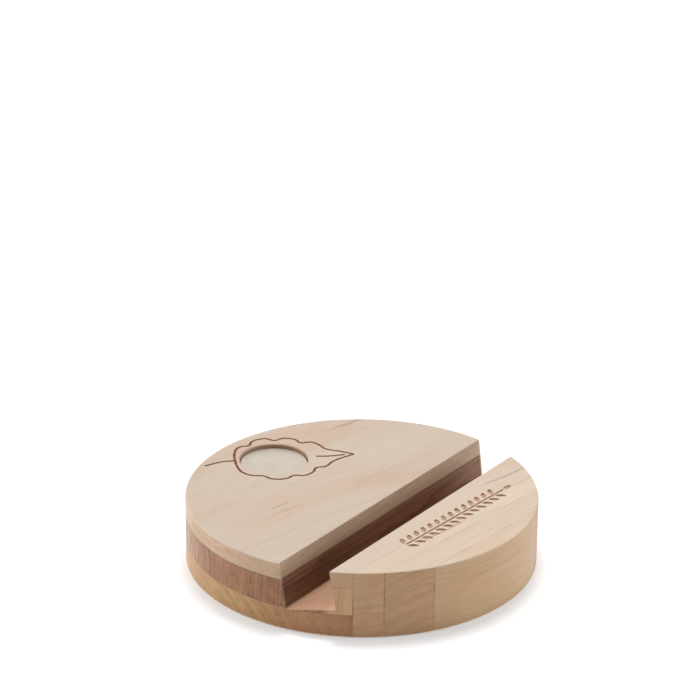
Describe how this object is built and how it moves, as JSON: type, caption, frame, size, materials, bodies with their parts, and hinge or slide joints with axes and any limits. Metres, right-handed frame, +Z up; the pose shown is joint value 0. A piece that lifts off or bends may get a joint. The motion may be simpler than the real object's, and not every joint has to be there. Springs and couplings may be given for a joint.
{
  "type": "phone stand",
  "caption": "Round glued wooden block with a leaning groove that holds a phone upright, and a disc magnet let into its top.",
  "frame": {"origin": "centre of the underside, on the surface the stand rests on", "axes": "+Z up, +X along the phone groove, -Y towards the person who looks at the phone, +Y the way the phone leans"},
  "size_m": [0.092, 0.092, 0.018],
  "materials": {
    "top_wood": "fine sanded bare hardwood, satin",
    "middle_wood": "fine sanded bare hardwood, darker, end grain at the rim",
    "base_wood": "fine sanded bare hardwood",
    "stave_wood": "fine sanded bare hardwood",
    "magnet_plating": "satin nickel plating"
  },
  "bodies": {
    "root": {"base_board": "base_wood", "middle_board_front": "middle_wood", "middle_board_rear": "middle_wood", "top_board_front": "top_wood", "top_board_rear": "top_wood", "inner_front_stave": "stave_wood", "centre_front_stave": "stave_wood", "outer_front_stave": "stave_wood", "disc_magnet": "magnet_plating"}
  },
  "joints": []
}
